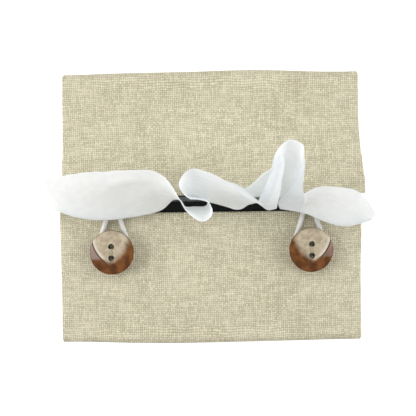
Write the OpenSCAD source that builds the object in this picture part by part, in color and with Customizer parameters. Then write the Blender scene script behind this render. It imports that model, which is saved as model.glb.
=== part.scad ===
// Square tissue box cover: a lined linen box whose top is two flaps that meet at a slit and are
// held shut by a cord loop over a button at each end. It holds a folded card carton of tissues,
// with one tissue standing up through the slit. Millimetres, +Z up, origin under the middle of
// the base, the slit along X and the buttoned flap on the -Y side.

/* [Cover] */
// Outside width of the walls, along the slit
cover_w = 119; // [110:1:130]
// Outside depth of the walls, across the slit
cover_d = 109; // [104:1:120]
// Height from the base to the top of the flaps
cover_h = 128; // [100:1:150]
// Thickness of the linen
linen_t = 0.9; // [0.7:0.1:1.1]
// Thickness of the cotton lining
lining_t = 0.6; // [0.4:0.1:0.8]
// How far a flap stands past the walls at each end
flap_over = 1; // [0.5:0.1:2]

/* [Slit] */
// Gap between the two flap edges
slit_w = 7.6; // [5:0.1:8]
// Edge of the buttoned flap
slit_front_y = -2.4; // [-3:0.1:0]

/* [Closure] */
// Diameter of a button
button_d = 18; // [15:0.5:20]
// Thickness of a button
button_t = 3.4; // [2.5:0.1:4]
// Distance of a button from the middle of the slit, along X
button_x = 39.9; // [34:0.1:46]
// Distance of a button from the middle of the slit, along Y
button_y = -17.8; // [-20:0.1:-15]
// Outward lean of a button, in degrees
button_lean = 5; // [0:1:8]
// Diameter of the loop cord
cord_d = 2; // [1.5:0.1:2.2]
// Radius of the round end of a loop
loop_r = 5.8; // [5:0.1:7]

/* [Carton] */
// Clearance between the carton and the lining
carton_gap = 0.5; // [0.3:0.1:1]
// Thickness of the carton's card
card_t = 0.5; // [0.4:0.1:0.8]
// Length of the carton's slot
slot_l = 74; // [60:1:80]
// Width of the carton's slot
slot_w = 26; // [20:1:34]

/* [Hidden] */
$fn = 48;

linen_colour = [0.80, 0.77, 0.66];
lining_colour = [0.05, 0.05, 0.06];
card_colour = [0.10, 0.10, 0.12];
film_colour = [0.03, 0.03, 0.04, 0.9];
tissue_colour = [0.96, 0.96, 0.97];
horn_colour = [0.45, 0.27, 0.15];
thread_colour = [0.82, 0.76, 0.64];
cord_colour = [0.95, 0.95, 0.93];

half_w = cover_w / 2;
half_d = cover_d / 2;
shell_t = linen_t + lining_t;           // linen and lining together
flap_z = cover_h - shell_t;             // underside of a flap
wall_h = flap_z - 0.2;                  // the walls stop just under the flaps
fold_gap = 0.2;                         // a flap starts this far in from the wall's outer face
slit_back_y = slit_front_y + slit_w;    // edge of the looped flap
flap_w = cover_w + 2 * flap_over;
lining_in = 0.3;                        // the flap's lining stops this far inside its edges

inner_w = cover_w - 2 * shell_t;
inner_d = cover_d - 2 * shell_t;
carton_w = inner_w - 2 * carton_gap;
carton_d = inner_d - 2 * carton_gap;
carton_z = shell_t + 0.1;
carton_top = flap_z - 1.5;

hole_d = 2.4;       // sewing holes of a button
hole_gap = 4.6;     // between the middles of the two sewing holes
strand_r = 0.45;    // the thread that goes down a sewing hole
bar_half = 0.6;     // half the width of the thread bar between the holes
bar_t = 0.4;
shank_r = 1;        // the thread wound below a button
needle_r = 1.4;     // the opening that the thread goes through in the flap
knot_r = 1.6;
knot_t = 0.6;
knot_gap = 0.3;     // the knot hangs this far below the flap
cord_lift = 0.15;   // the cord lies this far off the flap
// Room for the cord under a button, on the side where the button leans down
shank_h = cord_d + 2 * cord_lift + (loop_r + cord_d / 2) * sin(button_lean);

// ---- the sewn box -------------------------------------------------------------------------

// A slab from one corner to the opposite one
module slab(low, high) {
    translate(low) cube(high - low);
}

// A wall panel across Y, side = -1 for the front and 1 for the back, depth in from the outer face
module wall_across(side, inset, thickness, half, low_z) {
    outer = side * (half_d - inset);
    inner = side * (half_d - inset - thickness);
    slab([-half, min(outer, inner), low_z], [half, max(outer, inner), wall_h]);
}

// A wall panel across X, side = -1 for the left and 1 for the right
module wall_along(side, inset, thickness, half, low_z) {
    outer = side * (half_w - inset);
    inner = side * (half_w - inset - thickness);
    slab([min(outer, inner), -half, low_z], [max(outer, inner), half, wall_h]);
}

module front_wall() color(linen_colour) wall_across(-1, 0, linen_t, half_w, 0);
module back_wall() color(linen_colour) wall_across(1, 0, linen_t, half_w, 0);
module left_wall() color(linen_colour) wall_along(-1, 0, linen_t, half_d - linen_t, 0);
module right_wall() color(linen_colour) wall_along(1, 0, linen_t, half_d - linen_t, 0);

module base_panel() color(linen_colour)
    slab([-half_w + linen_t, -half_d + linen_t, 0], [half_w - linen_t, half_d - linen_t, linen_t]);

module front_wall_lining() color(lining_colour)
    wall_across(-1, linen_t, lining_t, half_w - linen_t, linen_t);
module back_wall_lining() color(lining_colour)
    wall_across(1, linen_t, lining_t, half_w - linen_t, linen_t);
module left_wall_lining() color(lining_colour)
    wall_along(-1, linen_t, lining_t, half_d - shell_t, linen_t);
module right_wall_lining() color(lining_colour)
    wall_along(1, linen_t, lining_t, half_d - shell_t, linen_t);

module base_lining() color(lining_colour)
    slab([-inner_w / 2, -inner_d / 2, linen_t], [inner_w / 2, inner_d / 2, shell_t]);

// ---- the flaps ----------------------------------------------------------------------------

// The openings that the button threads go through
module needle_holes() {
    for (side = [-1, 1])
        translate([side * button_x, button_y, flap_z - 1]) cylinder(r = needle_r, h = shell_t + 2);
}

module front_flap() color(linen_colour) difference() {
    slab([-flap_w / 2, -half_d + fold_gap, cover_h - linen_t], [flap_w / 2, slit_front_y, cover_h]);
    needle_holes();
}

module front_flap_lining() color(lining_colour) difference() {
    slab([-flap_w / 2 + lining_in, -half_d + fold_gap + lining_in, flap_z],
         [flap_w / 2 - lining_in, slit_front_y - lining_in, cover_h - linen_t]);
    needle_holes();
}

module back_flap() color(linen_colour)
    slab([-flap_w / 2, slit_back_y, cover_h - linen_t], [flap_w / 2, half_d - fold_gap, cover_h]);

module back_flap_lining() color(lining_colour)
    slab([-flap_w / 2 + lining_in, slit_back_y + lining_in, flap_z],
         [flap_w / 2 - lining_in, half_d - fold_gap - lining_in, cover_h - linen_t]);

// ---- the buttons --------------------------------------------------------------------------

// Puts a button's own parts at their place, leaning outwards about the point where its thread
// comes up through the flap
module at_button(side) {
    translate([side * button_x, button_y, cover_h]) rotate([0, side * button_lean, 0]) children();
}

// A turned disc with a flat face, a rounded rim and a dished back
module button_blank() {
    rim = button_d / 2;
    rotate_extrude($fn = 96) polygon([
        [0, 0], [rim - 2.6, 0], [rim - 0.9, 0.8], [rim - 0.2, 1.5], [rim, 2],
        [rim - 0.1, 2.6], [rim - 0.4, button_t - 0.3], [rim - 0.9, button_t], [0, button_t]]);
}

// The slope cut away outside an arc, from the edge of the raised shield down to the rim. The arc's
// middle lies above the holes on one side, so the two arcs cross in a point below them.
module button_facet(side) {
    arc_r = 13.3;
    arc_x = 5.5;
    arc_y = 7.15;
    outer_r = arc_r + 5.5;
    translate([side * arc_x, arc_y, button_t]) rotate_extrude($fn = 128) polygon([
        [arc_r, 0], [arc_r + 0.8, -0.6], [arc_r + 2, -1], [outer_r, -1.5], [outer_r, 1], [arc_r, 1]]);
}

module button_holes() {
    for (y = [-1, 1])
        translate([0, y * hole_gap / 2, -1]) cylinder(d = hole_d, h = button_t + 2);
}

module button(side) color(horn_colour) at_button(side) translate([0, 0, shank_h]) difference() {
    button_blank();
    for (facet = [-1, 1]) button_facet(facet);
    button_holes();
}

// The sewing thread: a bar over the face, a strand down each hole, the wound shank and the knot
module button_thread(side) color(thread_colour) at_button(side) {
    strand_y = hole_gap / 2 - hole_d / 2 + strand_r + 0.05;
    foot = -shell_t - knot_gap;
    translate([0, 0, foot - knot_t]) cylinder(r = knot_r, h = knot_t);
    translate([0, 0, foot]) cylinder(r = shank_r, h = shank_h - strand_r - foot);
    slab([-strand_r, -strand_y, shank_h - 2 * strand_r], [strand_r, strand_y, shank_h - 0.05]);
    for (y = [-1, 1])
        translate([0, y * strand_y, shank_h - strand_r]) cylinder(r = strand_r, h = button_t + strand_r + 0.2);
    slab([-bar_half, -strand_y - strand_r, shank_h + button_t],
         [bar_half, strand_y + strand_r, shank_h + button_t + bar_t]);
}

module left_button() button(-1);
module right_button() button(1);
module left_button_thread() button_thread(-1);
module right_button_thread() button_thread(1);

// ---- the cord loops -----------------------------------------------------------------------

loop_root_half = 1.15;                        // half the distance between the cord's two ends
loop_end_y = button_y + 3.2;                  // middle of the loop's round end
leg_steps = 8;
bend_steps = 14;
cord_z = cover_h + cord_lift + cord_d / 2;    // the cord's middle over the buttoned flap
root_z = flap_z + shell_t / 2;                // and where it is sewn into the looped flap's edge
// The direction in which a leg leaves the round end, measured from +X
leg_turn = asin((loop_r - loop_root_half) / (slit_back_y - loop_end_y));

// Height of the cord at a distance y across the slit: it climbs from the flap's edge
function cord_height(y) =
    let (t = min(1, max(0, (slit_back_y - y) / slit_w)))
    root_z + (cord_z - root_z) * t * t * (3 - 2 * t);

// One leg of the loop from the flap's edge to the round end, side = -1 or 1
function leg_points(side) = [
    for (i = [0 : leg_steps - 1])
        let (t = i / leg_steps,
             x = loop_root_half + (loop_r * cos(leg_turn) - loop_root_half) * t,
             y = slit_back_y + (loop_end_y + loop_r * sin(leg_turn) - slit_back_y) * t)
        [side * x, y, cord_height(y)]];

function bend_points() = [
    for (i = [0 : bend_steps])
        let (a = leg_turn - (180 + 2 * leg_turn) * i / bend_steps)
        [loop_r * cos(a), loop_end_y + loop_r * sin(a), cord_height(loop_end_y + loop_r * sin(a))]];

function reversed(list) = [for (i = [len(list) - 1 : -1 : 0]) list[i]];
function loop_route() = concat(leg_points(1), bend_points(), reversed(leg_points(-1)));

// A tube swept along a route: a ring of points at each route point, square to the route
module tube(route, r, sides) {
    last = len(route) - 1;
    rings = [for (i = [0 : last])
        let (along = route[min(i + 1, last)] - route[max(i - 1, 0)],
             ahead = along / norm(along),
             level = [-ahead[1], ahead[0], 0] / norm([ahead[0], ahead[1]]),
             rise = cross(ahead, level))
        [for (k = [0 : sides - 1])
            route[i] + r * (cos(360 * k / sides) * level + sin(360 * k / sides) * rise)]];
    points = [for (ring = rings) each ring];
    walls = [for (i = [0 : last - 1], k = [0 : sides - 1])
        let (a = i * sides + k, b = i * sides + (k + 1) % sides) [a, a + sides, b + sides, b]];
    ends = [[for (k = [0 : sides - 1]) k], [for (k = [sides - 1 : -1 : 0]) last * sides + k]];
    polyhedron(points, concat(walls, ends));
}

module cord_loop(side) color(cord_colour)
    translate([side * button_x, 0, 0]) tube(loop_route(), cord_d / 2, 8);

module left_loop() cord_loop(-1);
module right_loop() cord_loop(1);

// ---- the carton and its tissues -----------------------------------------------------------

// A slot with round ends, along X
module slot_outline(length, width) {
    square([length - width, width], center = true);
    for (side = [-1, 1]) translate([side * (length - width) / 2, 0]) circle(d = width);
}

module carton() color(card_colour) difference() {
    slab([-carton_w / 2, -carton_d / 2, carton_z], [carton_w / 2, carton_d / 2, carton_top]);
    slab([-carton_w / 2 + card_t, -carton_d / 2 + card_t, carton_z + card_t],
         [carton_w / 2 - card_t, carton_d / 2 - card_t, carton_top - card_t]);
    translate([0, 0, carton_top - 2]) linear_extrude(4) slot_outline(slot_l, slot_w);
}

film_t = 0.2;
film_z = carton_top - card_t - film_t;
film_rim = 8;          // the film reaches this far past the slot, where it is glued to the card
film_slit_y = 3.4;    // the slit that the tissues are drawn through
film_slit_w = 2;

module slot_film() color(film_colour) translate([0, 0, film_z]) linear_extrude(film_t) difference() {
    square([slot_l + 2 * film_rim, slot_w + 2 * film_rim], center = true);
    translate([0, film_slit_y]) square([slot_l - 4, film_slit_w], center = true);
}

stack_in = 2.5;        // the stack is this much smaller than the carton on each side
stack_top = film_z - 3.3;

module tissue_stack() color(tissue_colour)
    slab([-carton_w / 2 + stack_in, -carton_d / 2 + stack_in, carton_z + card_t + 0.1],
         [carton_w / 2 - stack_in, carton_d / 2 - stack_in, stack_top]);

tissue_t = 0.3;
foot_z = film_z - 2.8 - cover_h;     // a standing ply reaches down past the film
front_ply_y = 3.1;                   // the plies pass the slit side by side at these places
back_ply_y = 3.65;
slit_clear = 2.2;                    // they keep to those places up to here above the flaps

// A standing ply from stations along its free edge. Each station is [edge point, belly point,
// x in the slit], with heights counted from the top of the flaps. Between stations the ply is
// flat, and each row of points runs from its edge down to its foot.
module standing_ply(stations, slit_y) {
    rows = [for (s = stations)
        let (edge = s[0], belly = s[1], foot_x = s[2])
        [edge, (edge + belly) / 2, belly, [foot_x, slit_y, slit_clear], [foot_x, slit_y, foot_z]]];
    n = len(rows);
    m = len(rows[0]);
    rear = n * m;
    points = [for (side = [-1, 1]) for (row = rows) for (p = row)
        [p[0], p[1] + side * tissue_t / 2, p[2] + cover_h]];
    // Two triangles over four corners, given in the order seen from outside
    function pair(a, b, c, d) = [[a, b, c], [a, c, d]];
    faces = [
        for (i = [0 : n - 2], k = [0 : m - 2]) let (a = i * m + k) each pair(a, a + m, a + m + 1, a + 1),
        for (i = [0 : n - 2], k = [0 : m - 2]) let (a = rear + i * m + k) each pair(a, a + 1, a + m + 1, a + m),
        for (i = [0 : n - 2]) let (a = i * m) each pair(a, rear + a, rear + a + m, a + m),
        for (i = [0 : n - 2]) let (a = i * m + m - 1) each pair(a + m, rear + a + m, rear + a, a),
        for (k = [0 : m - 2]) each pair(k, k + 1, rear + k + 1, rear + k),
        for (k = [0 : m - 2]) let (a = rear - m + k) each pair(rear + a, rear + a + 1, a + 1, a)];
    polyhedron(points, faces);
}

// The front ply: a long low wing to the left, a curl over the buttoned flap and a lobe
front_ply_stations = [
    [[-67, 10, 14], [-62, 0, 8], -24],
    [[-47, 13, 22], [-45, -4, 7], -23.5],
    [[-26, 14, 29], [-25.5, -2, 6], -22],
    [[-15, 8, 30], [-15, 1.5, 8], -15],
    [[-9, -1, 27], [-8.5, 0, 10], -9],
    [[-4, -5, 25], [-4, -1.5, 12], -4],
    [[0.5, 0, 27], [0.5, 0, 10], 0.5],
    [[4, 12, 34], [3.5, 1.5, 9], 4],
    [[12, 8, 35], [11, 0, 7], 11],
    [[20, 1, 27], [19.5, 0.5, 7], 19]];

// The back ply: a corner behind the lobe, a tall arch that leans back and a wing to the right
back_ply_stations = [
    [[12, 9, 22], [12, 4, 8], 12],
    [[21, 15, 34], [20, 7, 12], 18],
    [[28, 24, 42], [27, 8, 18], 24],
    [[36, 22, 42], [34, 6, 16], 29],
    [[37, 6, 26], [36, 1, 10], 31],
    [[44, 7, 23], [43, -4, 7], 32],
    [[54, 6, 23], [52, -7, 8], 33],
    [[67, -3, 14], [63, -5, 9], 34]];

module tissue_front_ply() color(tissue_colour) standing_ply(front_ply_stations, front_ply_y);
module tissue_back_ply() color(tissue_colour) standing_ply(back_ply_stations, back_ply_y);

front_wall();
back_wall();
left_wall();
right_wall();
base_panel();
front_wall_lining();
back_wall_lining();
left_wall_lining();
right_wall_lining();
base_lining();
front_flap();
front_flap_lining();
back_flap();
back_flap_lining();
left_button();
right_button();
left_button_thread();
right_button_thread();
left_loop();
right_loop();
carton();
slot_film();
tissue_stack();
tissue_front_ply();
tissue_back_ply();
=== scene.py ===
"""Linen cover for a cube carton of tissues: two buttoned top flaps and a tissue standing up.

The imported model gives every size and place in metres. Each sub-assembly is a class that builds its
meshes, dresses them and hands them to the body that they move with.
"""
import logging
import math
from collections.abc import Callable
from dataclasses import dataclass, field, replace
from enum import Enum

import bpy
import numpy as np
from mathutils import Matrix, Vector


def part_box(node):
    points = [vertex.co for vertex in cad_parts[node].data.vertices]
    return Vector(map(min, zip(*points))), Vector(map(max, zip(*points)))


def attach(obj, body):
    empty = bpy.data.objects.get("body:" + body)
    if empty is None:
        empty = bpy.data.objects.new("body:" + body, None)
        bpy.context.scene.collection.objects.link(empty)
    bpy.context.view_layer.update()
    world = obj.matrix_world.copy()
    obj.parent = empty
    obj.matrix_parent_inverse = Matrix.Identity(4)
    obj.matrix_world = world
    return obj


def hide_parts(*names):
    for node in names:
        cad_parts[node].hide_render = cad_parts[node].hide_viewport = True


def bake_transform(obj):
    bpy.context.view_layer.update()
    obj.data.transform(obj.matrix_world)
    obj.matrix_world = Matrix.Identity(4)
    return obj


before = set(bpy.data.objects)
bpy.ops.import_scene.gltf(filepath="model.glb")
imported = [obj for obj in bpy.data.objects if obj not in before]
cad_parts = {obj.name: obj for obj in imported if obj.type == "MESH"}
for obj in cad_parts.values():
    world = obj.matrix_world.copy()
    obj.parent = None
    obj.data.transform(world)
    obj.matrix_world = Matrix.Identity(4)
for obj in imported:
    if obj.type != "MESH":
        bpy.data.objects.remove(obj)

LOG = logging.getLogger("tissue_box_cover")
MM = 0.001
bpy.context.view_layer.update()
Material = bpy.types.Material
Object = bpy.types.Object
Grid = np.ndarray
Point = tuple


class Body(Enum):
    """The bodies that pieces ride on."""

    COVER = "cover"
    FRONT_FLAP = "front_flap"
    BACK_FLAP = "back_flap"
    LEFT_BUTTON = "left_button"
    RIGHT_BUTTON = "right_button"
    TISSUE = "tissue"


class Side(Enum):
    """The two ends of the slit, as the sign of X."""

    LEFT = -1
    RIGHT = 1


class Edge(Enum):
    """The buttoned and the looped half of the cover, as the sign of Y."""

    FRONT = -1
    BACK = 1


# ---- sizes read from the frame ---------------------------------------------------------------


@dataclass(frozen=True)
class Sizes:
    """Sizes and places of the cover, in metres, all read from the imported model."""

    half_w: float
    half_d: float
    top_z: float
    wall_top: float
    linen_t: float
    lining_t: float
    front_slit_y: float
    back_slit_y: float
    flap_half: float

    @classmethod
    def from_frame(cls) -> "Sizes":
        """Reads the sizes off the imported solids.

        Returns:
            The sizes.
        """
        wall_low, wall_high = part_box("front_wall")
        flap_low, flap_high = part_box("front_flap")
        lining_low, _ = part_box("front_flap_lining")
        return cls(
            half_w=wall_high.x,
            half_d=-wall_low.y,
            top_z=flap_high.z,
            wall_top=wall_high.z,
            linen_t=flap_high.z - flap_low.z,
            lining_t=flap_low.z - lining_low.z,
            front_slit_y=flap_high.y,
            back_slit_y=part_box("back_flap")[0].y,
            flap_half=flap_high.x,
        )


SIZES = Sizes.from_frame()


# ---- mesh helpers ----------------------------------------------------------------------------


def smooth(t: Grid) -> Grid:
    """Eases a value from 0 to 1.

    Args:
        t: any values; they are clipped to 0 and 1 first.

    Returns:
        The eased values.
    """
    t = np.clip(t, 0.0, 1.0)
    return t * t * (3 - 2 * t)


def spline(points: Grid, count: int) -> Grid:
    """Draws a smooth curve through points along the first axis.

    Args:
        points: an array whose first axis is the point along the curve.
        count: how many points to return.

    Returns:
        The resampled array, with count entries along the first axis.
    """
    p = np.concatenate([2 * points[:1] - points[1:2], points, 2 * points[-1:] - points[-2:-1]])
    s = np.linspace(0, len(points) - 1, count)
    k = np.minimum(s.astype(int), len(points) - 2)
    t = (s - k).reshape((-1,) + (1,) * (points.ndim - 1))
    a, b, c, d = p[k], p[k + 1], p[k + 2], p[k + 3]
    return 0.5 * (2 * b + (c - a) * t + (2 * a - 5 * b + 4 * c - d) * t**2
                  + (3 * b - a - 3 * c + d) * t**3)


def loft(stations: Grid, columns: int, rows: int) -> Grid:
    """Spans a smooth surface over stations.

    Args:
        stations: (stations, points, 3) control points.
        columns: how many grid columns to make along the stations.
        rows: how many grid rows to make along each station.

    Returns:
        A (columns, rows, 3) grid of points.
    """
    along = spline(np.asarray(stations, float), columns)
    return spline(along.transpose(1, 0, 2), rows).transpose(1, 0, 2)


def arc_length(grid: Grid, axis: int) -> Grid:
    """Measures how far each grid point lies along an axis of the grid.

    Args:
        grid: (n, m, 3) points.
        axis: 0 or 1, the axis to measure along.

    Returns:
        (n, m) distances from the grid's first line.
    """
    step = np.linalg.norm(np.diff(grid, axis=axis), axis=2)
    pad = [(1, 0), (0, 0)] if axis == 0 else [(0, 0), (1, 0)]
    return np.cumsum(np.pad(step, pad), axis=axis)


def grid_normals(grid: Grid) -> Grid:
    """Works out a unit normal for every point of a grid.

    Args:
        grid: (n, m, 3) points.

    Returns:
        (n, m, 3) unit normals, along the cross product of the two grid directions.
    """
    normal = np.cross(np.gradient(grid, axis=0), np.gradient(grid, axis=1))
    return normal / np.maximum(np.linalg.norm(normal, axis=2, keepdims=True), 1e-12)


def new_object(name: str, verts: Grid, faces: list, smooth_faces: bool = True) -> Object:
    """Makes a mesh object and puts it in the scene.

    Args:
        name: the piece's name.
        verts: its points, in metres.
        faces: its faces, as lists of point numbers.
        smooth_faces: whether the faces are shaded smooth.

    Returns:
        The new object.
    """
    mesh = bpy.data.meshes.new(name)
    mesh.from_pydata([tuple(v) for v in verts], [], faces)
    mesh.polygons.foreach_set("use_smooth", [smooth_faces] * len(mesh.polygons))
    mesh.update()
    piece = bpy.data.objects.new(name, mesh)
    bpy.context.scene.collection.objects.link(piece)
    return piece


def border_of(n: int, m: int) -> list:
    """Lists a grid's border points in order, as pairs of grid indices."""
    return ([(i, 0) for i in range(n)] + [(n - 1, j) for j in range(1, m)]
            + [(i, m - 1) for i in range(n - 2, -1, -1)] + [(0, j) for j in range(m - 2, 0, -1)])


def mark_cloth(piece: Object, place: Grid) -> None:
    """Stores each point's place on the flat cloth, in mm, for the materials to read."""
    layer = piece.data.attributes.new("cloth", "FLOAT_VECTOR", "POINT")
    layer.data.foreach_set("vector", np.asarray(place, np.float32).ravel())


def ring_faces(rings: int, count: int) -> list:
    """Lists the faces of a closed tube of rings, with a cap at each end.

    Args:
        rings: how many rings there are.
        count: how many points each ring has.

    Returns:
        The faces, as tuples of point numbers.
    """
    faces = []
    for k in range(rings - 1):
        here, ahead = k * count, (k + 1) * count
        for a in range(count):
            b = (a + 1) % count
            faces.append((here + a, here + b, ahead + b, ahead + a))
    last = (rings - 1) * count
    return faces + [tuple(range(count - 1, -1, -1)), tuple(last + a for a in range(count))]


def closed_sheet(name: str, grid: Grid, thickness: float, cloth: Grid | None = None,
                 round_edge: float = 0.45) -> Object:
    """Makes a thin closed solid from the outer face of a sheet.

    Args:
        name: the piece's name.
        grid: (n, m, 3) points of the outer face; its normals point out of the sheet.
        thickness: the sheet's thickness in metres.
        cloth: (n, m, 2) place of each point on the flat cloth, in metres; measured if left out.
        round_edge: how far the edge bulges, as a share of the thickness.

    Returns:
        The new object, with a "cloth" attribute that holds the place on the flat cloth in mm.
    """
    n, m = grid.shape[:2]
    if cloth is None:
        cloth = np.stack([arc_length(grid, 0), arc_length(grid, 1)], axis=2)
    back = grid - grid_normals(grid) * thickness
    border = border_of(n, m)
    rim, rim_cloth = [], []
    for i, j in border:
        inner = (min(max(i, 1), n - 2), min(max(j, 1), m - 2))
        middle = (grid[i, j] + back[i, j]) / 2
        away = middle - (grid[inner] + back[inner]) / 2
        rim.append(middle + away / max(np.linalg.norm(away), 1e-9) * thickness * round_edge)
        rim_cloth.append(cloth[i, j])
    verts = np.concatenate([grid.reshape(-1, 3), back.reshape(-1, 3), np.array(rim)])
    rear, ring = n * m, 2 * n * m
    faces = []
    for i in range(n - 1):
        for j in range(m - 1):
            a = i * m + j
            faces.append((a, a + m, a + m + 1, a + 1))
            faces.append((rear + a, rear + a + 1, rear + a + m + 1, rear + a + m))
    count = len(border)
    for k in range(count):
        a, b = border[k][0] * m + border[k][1], border[(k + 1) % count][0] * m + border[(k + 1) % count][1]
        ra, rb = ring + k, ring + (k + 1) % count
        faces.append((a, ra, rb, b))
        faces.append((ra, rear + a, rear + b, rb))
    piece = new_object(name, verts, faces)
    place = np.concatenate([cloth.reshape(-1, 2), cloth.reshape(-1, 2), np.array(rim_cloth)]) / MM
    mark_cloth(piece, np.column_stack([place, np.zeros(len(place))]))
    return piece


def tube(name: str, path: Grid, radius: float, sides: int, relief: Callable | None = None) -> Object:
    """Sweeps a closed tube along a path.

    Args:
        name: the piece's name.
        path: (n, 3) points in metres.
        radius: the tube's radius in metres.
        sides: how many points each ring has.
        relief: a function of (distance along, angle) giving a factor on the radius, or None.

    Returns:
        The new object, with a "cloth" attribute of the distance along and the angle.
    """
    path = np.asarray(path, float)
    ahead = np.gradient(path, axis=0)
    ahead /= np.linalg.norm(ahead, axis=1, keepdims=True)
    side = np.cross(ahead[0], (0.0, 0.0, 1.0))
    if np.linalg.norm(side) < 1e-3:
        side = np.cross(ahead[0], (0.0, 1.0, 0.0))
    run = np.concatenate([[0], np.cumsum(np.linalg.norm(np.diff(path, axis=0), axis=1))])
    angles = np.arange(sides) * 2 * math.pi / sides
    verts, place = [], []
    for k, point in enumerate(path):
        side = side - ahead[k] * np.dot(side, ahead[k])
        side /= np.linalg.norm(side)
        rise = np.cross(ahead[k], side)
        factor = relief(run[k], angles) if relief else np.ones(sides)
        for angle, f in zip(angles, factor):
            verts.append(point + radius * f * (math.cos(angle) * side + math.sin(angle) * rise))
            place.append((run[k] / MM, angle, 0.0))
    piece = new_object(name, np.array(verts), ring_faces(len(path), sides))
    mark_cloth(piece, place)
    return piece


def join(name: str, parts: list) -> Object:
    """Joins several new objects into one piece.

    Args:
        name: the joined piece's name.
        parts: the objects to join.

    Returns:
        The joined object.
    """
    for other in bpy.context.selected_objects:
        other.select_set(False)
    for part in parts:
        part.select_set(True)
    bpy.context.view_layer.objects.active = parts[0]
    bpy.ops.object.join()
    parts[0].name = name
    parts[0].data.name = name
    return parts[0]


def waves(grid: Grid, size: float, reach: float, seed: int) -> Grid:
    """Gives gentle hollows and swells that vary slowly with place.

    Args:
        grid: (n, m, 3) points in metres.
        size: the greatest height of a swell, in metres.
        reach: the length of a swell, in metres.
        seed: picks the pattern.

    Returns:
        (n, m) heights in metres.
    """
    random = np.random.default_rng(seed)
    total = np.zeros(grid.shape[:2])
    for _ in range(7):
        way = random.normal(size=3)
        way /= np.linalg.norm(way)
        rate = 2 * math.pi / (reach * random.uniform(0.7, 1.8))
        total += np.sin(grid @ way * rate + random.uniform(0, 6.28))
    return total * size / 4


# ---- shader helpers --------------------------------------------------------------------------


class Nodes:
    """Makes and links nodes in one node tree."""

    def __init__(self, tree: bpy.types.NodeTree) -> None:
        """Starts on an emptied tree."""
        self.tree = tree
        tree.nodes.clear()

    def add(self, kind: str, **settings: object) -> bpy.types.Node:
        """Adds a node.

        Args:
            kind: the node's type name without "ShaderNode".
            settings: properties to set on the node.

        Returns:
            The new node.
        """
        name = kind if kind.startswith("Node") else "ShaderNode" + kind
        node = self.tree.nodes.new(name)
        for key, value in settings.items():
            setattr(node, key, value)
        return node

    def put(self, socket: bpy.types.NodeSocket, value: object) -> None:
        """Links a socket to an input, or sets the input to a constant.

        Args:
            socket: the input.
            value: a socket, a constant, or None to leave the input as it is.
        """
        if isinstance(value, bpy.types.NodeSocket):
            self.tree.links.new(value, socket)
        elif value is not None:
            socket.default_value = value

    def maths(self, operation: str, *values: object) -> bpy.types.NodeSocket:
        """Adds a Math node.

        Args:
            operation: what it does.
            values: its inputs, as sockets or numbers.

        Returns:
            Its output.
        """
        node = self.add("Math", operation=operation)
        for socket, value in zip(node.inputs, values):
            self.put(socket, value)
        return node.outputs[0]

    def spread(self, value: object, low: float, high: float, to_low: float = 0.0,
               to_high: float = 1.0) -> bpy.types.NodeSocket:
        """Maps a value from one range to another with soft ends.

        Args:
            value: the value to map.
            low: the value that gives to_low.
            high: the value that gives to_high; it may be the smaller of the two.
            to_low: the result at low.
            to_high: the result at high.

        Returns:
            The mapped value.
        """
        node = self.add("MapRange", interpolation_type="SMOOTHSTEP")
        for socket, given in zip(node.inputs, (value, low, high, to_low, to_high)):
            self.put(socket, given)
        return node.outputs[0]

    def noise(self, vector: object, scale: float, detail: float = 2.0) -> bpy.types.NodeSocket:
        """Adds a noise texture.

        Args:
            vector: where it is read.
            scale: how fine it is.
            detail: how many finer layers it has.

        Returns:
            Its value, about 0 to 1.
        """
        node = self.add("TexNoise")
        self.put(node.inputs["Vector"], vector)
        node.inputs["Scale"].default_value = scale
        node.inputs["Detail"].default_value = detail
        return node.outputs["Fac"]

    def mix(self, factor: object, first: object, second: object) -> bpy.types.NodeSocket:
        """Mixes two colours.

        Args:
            factor: the second colour's share.
            first: the first colour.
            second: the second colour.

        Returns:
            The mixed colour.
        """
        node = self.add("Mix", data_type="RGBA")
        self.put(node.inputs["Factor"], factor)
        self.put(node.inputs["A"], first)
        self.put(node.inputs["B"], second)
        return node.outputs["Result"]

    def mix_value(self, factor: object, first: object, second: object) -> bpy.types.NodeSocket:
        """Mixes two values, the second one's share being the factor."""
        kept = self.maths("MULTIPLY", first, self.maths("SUBTRACT", 1.0, factor))
        return self.maths("ADD", kept, self.maths("MULTIPLY", second, factor))

    def group(self, tree: bpy.types.NodeTree, **inputs: object) -> bpy.types.Node:
        """Places a node group and sets its inputs.

        Args:
            tree: the group.
            inputs: its inputs by name.

        Returns:
            The group's node.
        """
        node = self.add("Group", node_tree=tree)
        for key, value in inputs.items():
            self.put(node.inputs[key], value)
        return node


def new_group(name: str, inputs: dict, outputs: dict) -> tuple:
    """Starts a shader node group.

    Args:
        name: the group's name.
        inputs: socket types by name.
        outputs: socket types by name.

    Returns:
        The group's tree, its Nodes helper, its input node and its output node.
    """
    tree = bpy.data.node_groups.new(name, "ShaderNodeTree")
    nodes = Nodes(tree)
    for key, kind in inputs.items():
        tree.interface.new_socket(name=key, in_out="INPUT", socket_type=kind)
    for key, kind in outputs.items():
        tree.interface.new_socket(name=key, in_out="OUTPUT", socket_type=kind)
    return tree, nodes, nodes.add("NodeGroupInput"), nodes.add("NodeGroupOutput")


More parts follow.
